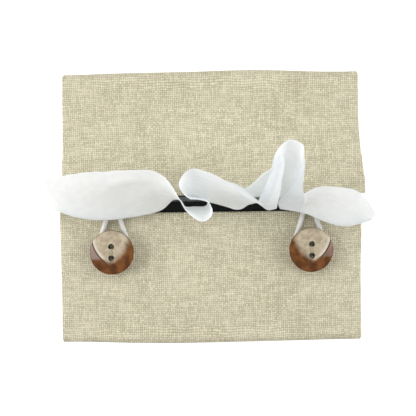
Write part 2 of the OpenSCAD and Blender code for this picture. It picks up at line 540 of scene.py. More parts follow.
def weave_group() -> bpy.types.NodeTree:
    """Builds the plain weave: yarns over and under each other, uneven in width and shade.

    Returns:
        The group. Place is the place on the flat cloth in mm, Pitch is the distance between
        yarns in mm, and Slubs is how uneven the yarns are. Height and Shade run from 0 to 1.
    """
    tree, n, given, out = new_group(
        "Plain weave",
        {"Place": "NodeSocketVector", "Pitch": "NodeSocketFloat", "Slubs": "NodeSocketFloat"},
        {"Height": "NodeSocketFloat", "Shade": "NodeSocketFloat", "Slub": "NodeSocketFloat"},
    )
    place, pitch, slubs = given.outputs["Place"], given.outputs["Pitch"], given.outputs["Slubs"]
    split = n.add("SeparateXYZ")
    n.put(split.inputs[0], place)
    heights, shades, lumps = [], [], []
    wander = n.maths("MULTIPLY", n.maths("SUBTRACT", n.noise(place, 0.11, 3), 0.5), 1.6)
    for across, along, seed in ((0, 1, 3.1), (1, 0, 57.7)):
        # Yarn count across, pushed about so that the yarns aren't ruled lines
        count = n.maths("DIVIDE", n.maths("ADD", split.outputs[across], wander), pitch)
        whole = n.maths("FLOOR", count)
        # A place that is narrow across the yarn and long along it
        stretch = n.add("CombineXYZ")
        n.put(stretch.inputs[0], n.maths("MULTIPLY", whole, 7.31))
        n.put(stretch.inputs[1], n.maths("MULTIPLY", split.outputs[along], 0.16))
        n.put(stretch.inputs[2], seed)
        yarn = n.noise(stretch.outputs[0], 1.0, 3)
        quick = n.add("CombineXYZ")
        n.put(quick.inputs[0], n.maths("MULTIPLY", whole, 3.77))
        n.put(quick.inputs[1], n.maths("MULTIPLY", split.outputs[along], 0.42))
        n.put(quick.inputs[2], seed + 11)
        lump = n.spread(n.noise(quick.outputs[0], 1.0, 1), 0.58, 0.74)
        wave = n.maths("SINE", n.maths("MULTIPLY", count, math.pi))
        heights.append((wave, n.maths("ABSOLUTE", wave)))
        shades.append(yarn)
        lumps.append(lump)
    over = n.maths("MULTIPLY", heights[0][0], heights[1][0])
    share = n.spread(over, -0.25, 0.25)
    first = n.maths("MULTIPLY", share, heights[0][1])
    second = n.maths("MULTIPLY", n.maths("SUBTRACT", 1.0, share), heights[1][1])
    height = n.maths("ADD", first, second)
    yarn_shade = n.add("Mix", data_type="FLOAT")
    n.put(yarn_shade.inputs["Factor"], share)
    n.put(yarn_shade.inputs["A"], shades[1])
    n.put(yarn_shade.inputs["B"], shades[0])
    slub = n.maths("MAXIMUM", n.maths("MULTIPLY", lumps[0], share),
                   n.maths("MULTIPLY", lumps[1], n.maths("SUBTRACT", 1.0, share)))
    slub = n.maths("MULTIPLY", slub, slubs)
    n.put(out.inputs["Height"], n.maths("ADD", height, n.maths("MULTIPLY", slub, 0.5)))
    n.put(out.inputs["Shade"], yarn_shade.outputs["Result"])
    n.put(out.inputs["Slub"], slub)
    return tree


def fibre_group() -> bpy.types.NodeTree:
    """Builds a fine fibre mottle for tissue and card.

    Returns:
        The group. Place is in mm, Size is the length of a mottle in mm, and Fleck runs 0 to 1.
    """
    tree, n, given, out = new_group(
        "Fibre mottle",
        {"Place": "NodeSocketVector", "Size": "NodeSocketFloat"},
        {"Fleck": "NodeSocketFloat", "Height": "NodeSocketFloat"},
    )
    scaled = n.add("VectorMath", operation="DIVIDE")
    n.put(scaled.inputs[0], given.outputs["Place"])
    size = n.add("CombineXYZ")
    for socket in size.inputs:
        n.put(socket, given.outputs["Size"])
    n.put(scaled.inputs[1], size.outputs[0])
    n.put(out.inputs["Fleck"], n.noise(scaled.outputs[0], 1.0, 4))
    n.put(out.inputs["Height"], n.noise(scaled.outputs[0], 2.3, 3))
    return tree


@dataclass
class Groups:
    """The shared node groups, each built once."""

    weave: bpy.types.NodeTree = field(default_factory=weave_group)
    fibre: bpy.types.NodeTree = field(default_factory=fibre_group)


GROUPS = Groups()


def new_material(name: str) -> tuple:
    """Starts a material with a Principled shader.

    Args:
        name: the material's name.

    Returns:
        The material, its Nodes helper and its shader node.
    """
    material = bpy.data.materials.new(name)
    material.use_nodes = True
    n = Nodes(material.node_tree)
    shader = n.add("BsdfPrincipled")
    out = n.add("OutputMaterial")
    n.put(out.inputs["Surface"], shader.outputs[0])
    return material, n, shader


def cloth_place(n: Nodes) -> bpy.types.NodeSocket:
    """Reads a point's place on the flat cloth, in mm."""
    return n.add("Attribute", attribute_name="cloth").outputs["Vector"]


def solid_place(n: Nodes) -> bpy.types.NodeSocket:
    """Reads a point's place on the object.

    Args:
        n: the material's nodes.

    Returns:
        The place, in mm.
    """
    scale = n.add("VectorMath", operation="SCALE")
    n.put(scale.inputs[0], n.add("TexCoord").outputs["Object"])
    scale.inputs["Scale"].default_value = 1 / MM
    return scale.outputs[0]


def bump(n: Nodes, height: object, depth: float, strength: float = 1.0) -> bpy.types.NodeSocket:
    """Turns a height into a normal.

    Args:
        n: the material's nodes.
        height: the height, about 0 to 1.
        depth: how deep a height of 1 is, in metres.
        strength: how much of it shows.

    Returns:
        The normal.
    """
    node = n.add("Bump")
    node.inputs["Strength"].default_value = strength
    node.inputs["Distance"].default_value = depth
    n.put(node.inputs["Height"], height)
    return node.outputs["Normal"]


# ---- finishes --------------------------------------------------------------------------------


@dataclass(frozen=True)
class WovenCloth:
    """A plain-woven cloth, with its pitch and depth in mm."""

    name: str
    light: tuple
    dark: tuple
    pitch: float
    slubs: float
    depth: float
    roughness: float = 0.92

    def material(self) -> Material:
        """Builds the cloth's material.

        Returns:
            The material.
        """
        material, n, shader = new_material(self.name)
        place = cloth_place(n)
        weave = n.group(GROUPS.weave, Place=place, Pitch=self.pitch, Slubs=self.slubs)
        height, shade, slub = (weave.outputs[k] for k in ("Height", "Shade", "Slub"))
        yarns = n.spread(shade, 0.28, 0.72, -0.30, 0.30)
        # Painted shade: the cloth darkens in the gaps between the yarns, following the weave's height
        gap_shade = n.spread(height, 0.1, 1.0, -0.46, 0.46)
        patches = n.spread(n.noise(place, 0.045, 3), 0.3, 0.7, 0.38, 0.56)
        tone = n.maths("ADD", n.maths("ADD", yarns, gap_shade), patches)
        tone = n.maths("ADD", tone, n.maths("MULTIPLY", slub, 0.22))
        tone = n.maths("MINIMUM", n.maths("MAXIMUM", tone, 0.0), 1.0)
        colour = n.mix(tone, (*self.dark, 1), (*self.light, 1))
        n.put(shader.inputs["Base Color"], colour)
        n.put(shader.inputs["Normal"], bump(n, height, self.depth * MM))
        shader.inputs["Roughness"].default_value = self.roughness
        shader.inputs["Specular IOR Level"].default_value = 0.25
        return material


@dataclass(frozen=True)
class SoftPaper:
    """Tissue paper: white, matt and slightly crinkled, letting some light through."""

    name: str
    colour: tuple
    shadow: tuple
    see_through: float
    painted_glow: float = 0.0

    def material(self) -> Material:
        """Builds the tissue's material.

        Returns:
            The material.
        """
        material, n, shader = new_material(self.name)
        place = cloth_place(n)
        fibre = n.group(GROUPS.fibre, Place=place, Size=3.5)
        colour = n.mix(n.spread(fibre.outputs["Fleck"], 0.3, 0.7), (*self.shadow, 1), (*self.colour, 1))
        n.put(shader.inputs["Base Color"], colour)
        n.put(shader.inputs["Normal"], bump(n, fibre.outputs["Height"], 0.12 * MM, 0.6))
        shader.inputs["Roughness"].default_value = 0.95
        shader.inputs["Specular IOR Level"].default_value = 0.15
        shader.inputs["Subsurface Weight"].default_value = self.see_through
        shader.inputs["Subsurface Radius"].default_value = (1.0, 1.0, 1.0)
        shader.inputs["Subsurface Scale"].default_value = 0.0014
        # Painted glow: a faint emission that brightens the tissue, standing in for the daylight that thin
        # paper scatters beyond what two modelled plies pass on
        shader.inputs["Emission Color"].default_value = (0.98, 1.0, 0.97, 1)
        shader.inputs["Emission Strength"].default_value = self.painted_glow
        return material


@dataclass(frozen=True)
class Horn:
    """Polished horn look: a cream shield over brown, crisp on its outer side and soft on its inner."""

    name: str
    side: Side
    centre: Vector
    lean: float
    face: float
    arc_r: float = 13.3
    arc_x: float = 5.5
    arc_y: float = 7.15
    hole_y: float = 2.3
    rim_r: float = 8.6
    cream: tuple = (0.56, 0.48, 0.345)
    cream_dark: tuple = (0.37, 0.30, 0.205)
    painted_glint: tuple = (0.74, 0.68, 0.57)
    brown: tuple = (0.21, 0.078, 0.018)
    brown_dark: tuple = (0.10, 0.033, 0.008)
    groove_shade: tuple = (0.045, 0.016, 0.007)
    pale: tuple = (0.36, 0.27, 0.23)

    def material(self) -> Material:
        """Builds the horn for one button, measured from that button's own middle.

        Returns:
            The material.
        """
        material, n, shader = new_material(self.name)
        centred = n.add("Mapping", vector_type="TEXTURE")
        n.put(centred.inputs["Vector"], n.add("TexCoord").outputs["Object"])
        centred.inputs["Location"].default_value = self.centre
        centred.inputs["Rotation"].default_value = (0, self.lean, 0)
        scale = n.add("VectorMath", operation="SCALE")
        n.put(scale.inputs[0], centred.outputs[0])
        scale.inputs["Scale"].default_value = 1 / MM
        place = scale.outputs[0]
        split = n.add("SeparateXYZ")
        n.put(split.inputs[0], place)
        level = n.add("CombineXYZ")
        n.put(level.inputs[0], split.outputs["X"])
        n.put(level.inputs[1], split.outputs["Y"])
        cloudy = n.noise(place, 0.28, 3)
        streaks = n.noise(place, 0.75, 4)
        wander = n.maths("MULTIPLY", n.maths("SUBTRACT", cloudy, 0.5), 1.8)
        outward = self.side.value
        inner = self.reach(n, level.outputs[0], outward * self.arc_x, self.arc_y)
        outer = self.reach(n, level.outputs[0], -outward * self.arc_x, self.arc_y)
        soft = n.spread(n.maths("ADD", inner, wander), -2.8, 0.8)
        # The outer edge is cut crisp above and runs out softly towards the shield's point
        point = n.spread(split.outputs["Y"], -2.6, -4.0)
        crisp = n.mix_value(point, n.spread(outer, 0.02, 0.22), n.spread(outer, -1.0, 0.8))
        deep = n.spread(n.maths("SUBTRACT", self.face / MM, split.outputs["Z"]), 1.2, 2.0)
        brown_share = n.maths("MAXIMUM", n.maths("MAXIMUM", soft, crisp), deep)
        shade = n.spread(n.maths("ADD", n.maths("MULTIPLY", cloudy, 0.6), n.maths("MULTIPLY", streaks, 0.4)),
                         0.36, 0.64, 0.0, 0.9)
        cream = n.mix(shade, (*self.cream, 1), (*self.cream_dark, 1))
        # Painted highlight: a pale glint band just inside the shield's crisp outer edge, above its point
        edge = n.maths("MULTIPLY", n.spread(outer, -1.5, -0.45), n.spread(split.outputs["Y"], -3.4, -1.6))
        cream = n.mix(n.maths("MULTIPLY", edge, 0.7), cream, (*self.painted_glint, 1))
        brown = n.mix(n.spread(cloudy, 0.35, 0.65), (*self.brown, 1), (*self.brown_dark, 1))
        # Painted reflection: the outer slope is lightened to a pinkish grey above the shield's point,
        # standing in for the softbox seen in its gloss, more on the left button than the right
        high = n.maths("MULTIPLY", n.spread(split.outputs["Y"], -3.4, -2.2), n.spread(outer, 0.0, 0.3))
        share = 0.8 if self.side is Side.LEFT else 0.45
        brown = n.mix(n.maths("MULTIPLY", high, share), brown, (*self.pale, 1))
        # Painted shade: a near-black line along the shield's crisp outer edge, darker than the brown horn,
        # where the carved groove lies in shade
        line = n.maths("MULTIPLY", n.spread(outer, 0.0, 0.15), n.spread(outer, 0.8, 0.5))
        line = n.maths("MULTIPLY", line, n.spread(split.outputs["Y"], -3.9, -2.7))
        colour = n.mix(brown_share, cream, brown)
        colour = n.mix(n.maths("MULTIPLY", line, 0.85), colour, (*self.groove_shade, 1))
        middle = n.add("VectorMath", operation="LENGTH")
        n.put(middle.inputs[0], level.outputs[0])
        rim = n.spread(middle.outputs["Value"], self.rim_r, self.rim_r + 0.3, 0.0, 0.6)
        colour = n.mix(rim, colour, (*self.brown_dark, 1))
        # Painted shade: the sewing holes are painted near-black, where shade falls inside them
        colour = n.mix(self.holes(n, level.outputs[0]), colour, (0.006, 0.004, 0.003, 1))
        n.put(shader.inputs["Base Color"], colour)
        n.put(shader.inputs["Roughness"], n.spread(brown_share, 0.0, 1.0, 0.36, 0.2))
        n.put(shader.inputs["Normal"], bump(n, streaks, 0.015 * MM, 0.4))
        shader.inputs["Specular IOR Level"].default_value = 0.3
        shader.inputs["Coat Weight"].default_value = 0.12
        shader.inputs["Coat Roughness"].default_value = 0.1
        return material

    def reach(self, n: Nodes, level: object, x: float, y: float) -> bpy.types.NodeSocket:
        """Measures how far a point lies outside one of the shield's two arcs.

        Args:
            n: the material's nodes.
            level: the point on the button's face, in mm.
            x: the arc's middle across the slit's end, in mm.
            y: the arc's middle towards the slit, in mm.

        Returns:
            The distance in mm, negative inside the arc.
        """
        away = n.add("VectorMath", operation="DISTANCE")
        n.put(away.inputs[0], level)
        away.inputs[1].default_value = (x, y, 0)
        return n.maths("SUBTRACT", away.outputs["Value"], self.arc_r)

    def holes(self, n: Nodes, level: object) -> bpy.types.NodeSocket:
        """Marks the two sewing holes, whose walls are painted near-black as shade.

        Args:
            n: the material's nodes.
            level: the point on the button's face, in mm.

        Returns:
            1 inside the holes and 0 elsewhere.
        """
        marks = []
        for side in (-1, 1):
            away = n.add("VectorMath", operation="DISTANCE")
            n.put(away.inputs[0], level)
            away.inputs[1].default_value = (0, side * self.hole_y, 0)
            marks.append(n.spread(away.outputs["Value"], 1.26, 1.18))
        return n.maths("MAXIMUM", marks[0], marks[1])


@dataclass(frozen=True)
class SpunCord:
    """Thread or braided cord: fine strands with a soft shine."""

    name: str
    light: tuple
    dark: tuple
    roughness: float
    strands: float

    def material(self) -> Material:
        """Builds the cord's material.

        Returns:
            The material.
        """
        material, n, shader = new_material(self.name)
        split = n.add("SeparateXYZ")
        n.put(split.inputs[0], cloth_place(n))
        turn = n.maths("MULTIPLY", split.outputs["Y"], self.strands)
        run = n.maths("MULTIPLY", split.outputs["X"], 2.6)
        one = n.maths("ABSOLUTE", n.maths("SINE", n.maths("ADD", turn, run)))
        two = n.maths("ABSOLUTE", n.maths("SINE", n.maths("SUBTRACT", turn, run)))
        strand = n.maths("MAXIMUM", one, two)
        # Painted shade: the cord darkens between its strands, where they dip under each other, following the
        # same pattern as the bump
        colour = n.mix(n.spread(strand, 0.55, 0.95), (*self.dark, 1), (*self.light, 1))
        n.put(shader.inputs["Base Color"], colour)
        n.put(shader.inputs["Normal"], bump(n, strand, 0.12 * MM))
        shader.inputs["Roughness"].default_value = self.roughness
        return material


@dataclass(frozen=True)
class PrintedCard:
    """The carton's card, printed dark, with faint worn flecks."""

    name: str
    ink: tuple
    worn: tuple

    def material(self) -> Material:
        """Builds the card's material.

        Returns:
            The material.
        """
        material, n, shader = new_material(self.name)
        fibre = n.group(GROUPS.fibre, Place=solid_place(n), Size=6.0)
        mark = n.spread(fibre.outputs["Fleck"], 0.45, 0.8, 0.0, 0.35)
        n.put(shader.inputs["Base Color"], n.mix(mark, (*self.ink, 1), (*self.worn, 1)))
        n.put(shader.inputs["Roughness"], n.spread(fibre.outputs["Fleck"], 0.3, 0.7, 0.5, 0.7))
        n.put(shader.inputs["Normal"], bump(n, fibre.outputs["Height"], 0.03 * MM, 0.4))
        return material


@dataclass(frozen=True)
class TintedFilm:
    """The thin dark tinted film under the carton's slot."""

    name: str

    def material(self) -> Material:
        """Builds the film's material.

        Returns:
            The material.
        """
        material, n, shader = new_material(self.name)
        ripple = n.noise(solid_place(n), 0.25, 2)
        colour = n.mix(ripple, (0.004, 0.004, 0.005, 1), (0.012, 0.012, 0.014, 1))
        n.put(shader.inputs["Base Color"], colour)
        n.put(shader.inputs["Alpha"], n.spread(ripple, 0.3, 0.7, 0.96, 0.99))
        n.put(shader.inputs["Normal"], bump(n, ripple, 0.3 * MM, 0.5))
        shader.inputs["Roughness"].default_value = 0.4
        shader.inputs["Specular IOR Level"].default_value = 0.2
        return material


class Finishes:
    """Every material that more than one piece wears, each built once."""

    def __init__(self) -> None:
        """Builds the materials."""
        self.linen = WovenCloth("natural linen", light=(0.83, 0.775, 0.585), dark=(0.40, 0.36, 0.235),
                                pitch=0.80, slubs=1.0, depth=0.17).material()
        self.lining = WovenCloth("black cotton", light=(0.012, 0.012, 0.014), dark=(0.003, 0.003, 0.004),
                                 pitch=0.5, slubs=0.4, depth=0.06).material()
        self.tissue = SoftPaper("white tissue", colour=(0.86, 0.90, 0.925), shadow=(0.80, 0.84, 0.865),
                                see_through=0.75, painted_glow=0.107).material()
        self.folded = SoftPaper("folded tissue", colour=(0.80, 0.82, 0.83), shadow=(0.68, 0.70, 0.71),
                                see_through=0.2).material()
        self.thread = SpunCord("cream thread", light=(0.66, 0.58, 0.42), dark=(0.36, 0.29, 0.19),
                               roughness=0.6, strands=3.0).material()
        self.cord = SpunCord("white braid", light=(0.92, 0.92, 0.90), dark=(0.62, 0.62, 0.58),
                             roughness=0.38, strands=4.0).material()
        self.card = PrintedCard("dark card", ink=(0.006, 0.006, 0.007), worn=(0.03, 0.03, 0.03)).material()
        self.film = TintedFilm("dark tinted film").material()


def dress(piece: Object, material: Material, body: Body | None = None) -> Object:
    """Gives a piece its material and, where it follows one body, that body.

    Args:
        piece: the object.
        material: what it is made of.
        body: the body it rides on, or None where it is blended between two.

    Returns:
        The same object.
    """
    piece.data.materials.clear()
    piece.data.materials.append(material)
    if body:
        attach(piece, body.value)
    LOG.info("%s: %d points", piece.name, len(piece.data.vertices))
    return piece


# ---- the sewn cover --------------------------------------------------------------------------


@dataclass(frozen=True)
class ClothShape:
    """How the cloth of the top lies: soft swells, and corners that lift beside the slit."""

    swell: float = 0.42 * MM
    reach: float = 46 * MM
    calm_radius: float = 13 * MM
    fold_bulge: float = 1.35 * MM
    bulge_reach: float = 16 * MM
    bulge_start: float = 4 * MM
    slit_reach: float = 21 * MM
    end_start: float = 44 * MM
    end_reach: float = 17 * MM
    lifts: dict = field(default_factory=lambda: {
        (Edge.FRONT, Side.LEFT): 0.8 * MM,
        (Edge.FRONT, Side.RIGHT): 1.0 * MM,
        (Edge.BACK, Side.LEFT): 1.5 * MM,
        (Edge.BACK, Side.RIGHT): 2.4 * MM,
    })
    returns: dict = field(default_factory=lambda: {
        (Edge.FRONT, Side.LEFT): 1.6 * MM,
        (Edge.FRONT, Side.RIGHT): 0.9 * MM,
        (Edge.BACK, Side.LEFT): 0.0,
        (Edge.BACK, Side.RIGHT): 0.0,
    })

    def calm(self, grid: Grid) -> Grid:
        """Gives 0 close to a button, where the stitching holds the cloth flat, and 1 away from it.

        Args:
            grid: (n, m, 3) points.

        Returns:
            (n, m) factors.
        """
        factor = np.ones(grid.shape[:2])
        for node in ("left_button", "right_button"):
            low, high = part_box(node)
            middle = (low + high) / 2
            away = np.hypot(grid[..., 0] - middle.x, grid[..., 1] - middle.y)
            factor *= smooth((away - self.calm_radius * 0.5) / self.calm_radius)
        return factor

    def lay(self, grid: Grid, edge: Edge, out: Grid) -> Grid:
        """Moves points of a flat layer to where the cloth really lies.

        Args:
            grid: (n, m, 3) points of the flat layer.
            edge: the half of the cover that it belongs to.
            out: (n, m, 3) directions out of the cloth.

        Returns:
            The moved points.
        """
        amount = waves(grid, self.swell, self.reach, 11 + edge.value) * self.calm(grid)
        moved = grid + out * amount[..., None]
        # The fold is fuller than the carton's edge, most of all in the middle
        middle = 1 - 0.65 * smooth(np.abs(grid[..., 0]) / SIZES.half_w) ** 2
        below = 1 - smooth((SIZES.top_z - self.bulge_start - grid[..., 2]) / self.bulge_reach)
        outside = smooth((np.abs(grid[..., 1]) - (SIZES.half_d - 7 * MM)) / (5 * MM))
        moved[..., 1] += edge.value * self.fold_bulge * middle * below * outside
        on_flap = smooth((grid[..., 2] - SIZES.wall_top) / (2 * MM))
        slit_y = SIZES.front_slit_y if edge is Edge.FRONT else SIZES.back_slit_y
        near_slit = 1 - smooth(np.abs(grid[..., 1] - slit_y) / self.slit_reach)
        for side in Side:
            near_end = smooth((grid[..., 0] * side.value - self.end_start) / self.end_reach)
            share = on_flap * near_end * near_slit
            moved[..., 2] += self.lifts[edge, side] * share
            # The slit narrows a little towards its ends
            moved[..., 1] += self.returns[edge, side] * share
        return moved


@dataclass
class FoldedCloth:
    """A wall and the flap above it, cut as one piece that folds softly over the carton's edge."""

    name: str
    edge: Edge
    material: Material
    slot: str
    inset: float
    thickness: float
    replaced: tuple
    half_wall: float
    flap_in: float
    shape: ClothShape = field(default_factory=ClothShape)
    fold_radius: float = 3.0 * MM
    corner: float = 2.0 * MM
    left_growth: float = 0.0
    right_growth: float = 0.0
    left_extra: float = 0.0
    growth_reach: float = 30 * MM
    flat_columns: int = 62
    wrap_columns: int = 6

    def profile(self) -> Grid:
        """Lists the outer face's outline from the wall's foot to the slit's edge.

        Returns:
            (points, 2) distances out and heights, in metres.
        """
        out = SIZES.half_d - self.inset
        top = SIZES.top_z - self.inset
        centre_y, centre_z = SIZES.half_d - self.fold_radius, SIZES.top_z - self.fold_radius
        slit_y = SIZES.front_slit_y if self.edge is Edge.FRONT else SIZES.back_slit_y
        end = slit_y * self.edge.value + self.flap_in
        foot = self.inset + (0.45 * MM if self.inset == 0 else 0.4 * MM)
        wall = [(out, z) for z in np.linspace(foot, centre_z - 0.5 * MM, 44)]
        radius_y, radius_z = out - centre_y, top - centre_z
        turn = [(centre_y + radius_y * math.cos(a), centre_z + radius_z * math.sin(a))
                for a in np.linspace(0, math.pi / 2, 11)]
        flap = [(y, top) for y in np.linspace(centre_y - 0.6 * MM, end, 54)]
        return np.array(wall + turn + flap)

    def grid(self) -> tuple:
        """Lays out the outer face.

        Returns:
            The (columns, rows, 3) points and their (columns, rows, 2) places on the flat cloth.
        """
        profile = self.profile()
        flat = self.half_wall - self.corner
        turns = np.linspace(0, math.pi / 4, self.wrap_columns + 1)[1:]
        middle = np.linspace(-flat, flat, self.flat_columns)
        rows = len(profile)
        run = np.concatenate([[0], np.cumsum(np.linalg.norm(np.diff(profile, axis=0), axis=1))])
        wrap = 1 - smooth((profile[:, 1] - (SIZES.top_z - 10 * MM)) / (8 * MM))
        slit_out = profile[-1, 0]
        on_flap = profile[:, 1] > SIZES.top_z - self.inset - 0.05 * MM
        nearness = np.where(on_flap, 1 - (profile[:, 0] - slit_out) / self.growth_reach, 0)
        columns = []
        for side in (-1, 1):
            growth = self.left_growth if side < 0 else self.right_growth
            extra = self.left_extra if side < 0 else 0.0
            half = SIZES.flap_half - self.inset * 0.5 + extra + growth * smooth(nearness)
            ends = []
            for k, a in enumerate(turns):
                share = (k + 1) / self.wrap_columns
                wide = flat + (half - flat) * share
                wrapped_x = flat + self.corner * math.sin(a)
                wrapped_y = profile[:, 0] - self.corner * (1 - math.cos(a))
                x = wide * (1 - wrap) + wrapped_x * wrap
                y = profile[:, 0] * (1 - wrap) + wrapped_y * wrap
                ends.append(np.column_stack([side * x, self.edge.value * y, profile[:, 1]]))
            columns.append(ends)
        inner = [np.column_stack([np.full(rows, x), self.edge.value * profile[:, 0], profile[:, 1]])
                 for x in middle]
        grid = np.array(columns[0][::-1] + inner + columns[1])
        if self.edge is Edge.BACK:
            grid = grid[::-1]
        cloth = np.stack([grid[..., 0], np.broadcast_to(run, grid.shape[:2])], axis=2)
        return grid, cloth

    def build(self) -> Object:
        """Returns:
            The finished piece.
        """
        grid, cloth = self.grid()
        grid = self.shape.lay(grid, self.edge, grid_normals(grid))
        piece = closed_sheet(self.name, grid, self.thickness, cloth)
        dress(piece, self.material)
        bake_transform(piece)
        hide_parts(*self.replaced)
        return piece


@dataclass
class WallCloth:
    """A plain side wall or the base: one flat panel of cloth with soft swells."""

    name: str
    material: Material
    slot: str
    replaced: str
    thickness: float
    normal: tuple
    swell: float = 0.35 * MM
    cells: tuple = (44, 48)

    def build(self) -> Object:
        """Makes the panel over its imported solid.

        Returns:
            The finished piece.
        """
        low, high = (np.array(c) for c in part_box(self.replaced))
        normal = np.array(self.normal, float)
        face = np.where(normal > 0, high, low)
        axes = [k for k in range(3) if normal[k] == 0]
        u = np.linspace(low[axes[0]], high[axes[0]], self.cells[0])
        # A wall stops just short of the floor, so that its fuller rim does not reach through it
        foot = 0.45 * MM if axes[1] == 2 and self.slot == "linen" else 0.0
        v = np.linspace(low[axes[1]] + foot, high[axes[1]], self.cells[1])
        grid = np.empty((len(u), len(v), 3))
        grid[..., :] = face
        grid[..., axes[0]] = u[:, None]
        grid[..., axes[1]] = v[None, :]
        cloth = np.stack([grid[..., axes[0]], grid[..., axes[1]]], axis=2)
        if np.dot(grid_normals(grid)[0, 0], normal) < 0:
            grid, cloth = grid[::-1], cloth[::-1]
        # The swells die away to nothing at the seams
        rim = np.minimum(np.minimum(grid[..., axes[0]] - low[axes[0]], high[axes[0]] - grid[..., axes[0]]),
                         np.minimum(grid[..., axes[1]] - low[axes[1]], high[axes[1]] - grid[..., axes[1]]))
        lift = waves(grid, self.swell, 50 * MM, 23) * smooth(rim / (12 * MM))
        pinch = -0.3 * MM * (1 - smooth(rim / (1.6 * MM)))
        share = 1.0 if self.slot == "linen" else 0.4
        grid = grid + normal * ((lift + pinch) * share)[..., None]
        piece = closed_sheet(self.name, grid, self.thickness, cloth)
        dress(piece, self.material, Body.COVER)
        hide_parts(self.replaced)
        return piece


@dataclass
class Cover:
    """The linen outside and the black lining, panel by panel."""

    finishes: Finishes

    def build(self) -> list:
        """Makes every panel of both layers.

        Returns:
            The finished pieces.
        """
        return self.folded_panels() + self.plain_panels()

    def folded_panels(self) -> list:
        """Makes the front and back cloths of both layers.

        Returns:
            The finished pieces.
        """
        growth = {Edge.FRONT: (0.4 * MM, 0.7 * MM), Edge.BACK: (0.5 * MM, 2.2 * MM)}
        extra = {Edge.FRONT: 0.5 * MM, Edge.BACK: -0.6 * MM}
        pieces = []
        for edge, word in ((Edge.FRONT, "front"), (Edge.BACK, "back")):
            left, right = growth[edge]
            pieces.append(FoldedCloth(
                f"{word}_linen", edge, self.finishes.linen, "linen", 0.0, SIZES.linen_t,
                (f"{word}_wall", f"{word}_flap"), SIZES.half_w, 0.0,
                left_growth=left, right_growth=right, left_extra=extra[edge]).build())
            pieces.append(FoldedCloth(
                f"{word}_black_lining", edge, self.finishes.lining, "lining", SIZES.linen_t + 0.02 * MM,
                SIZES.lining_t, (f"{word}_wall_lining", f"{word}_flap_lining"),
                SIZES.half_w - SIZES.linen_t, 0.3 * MM, left_growth=left, right_growth=right,
                left_extra=extra[edge]).build())
        return pieces

    def plain_panels(self) -> list:
        """Makes the side walls and the base of both layers.

        Returns:
            The finished pieces.
        """
        linen, lining = self.finishes.linen, self.finishes.lining
        panels = [
            WallCloth("left_linen", linen, "linen", "left_wall", SIZES.linen_t, (-1, 0, 0)),
            WallCloth("right_linen", linen, "linen", "right_wall", SIZES.linen_t, (1, 0, 0)),
            WallCloth("base_linen", linen, "linen", "base_panel", SIZES.linen_t, (0, 0, -1), 0.0),
            WallCloth("left_black_lining", lining, "lining", "left_wall_lining", SIZES.lining_t, (-1, 0, 0)),
            WallCloth("right_black_lining", lining, "lining", "right_wall_lining", SIZES.lining_t, (1, 0, 0)),
            WallCloth("base_black_lining", lining, "lining", "base_lining", SIZES.lining_t, (0, 0, -1), 0.0),
        ]
        return [panel.build() for panel in panels]


# ---- the closures ----------------------------------------------------------------------------


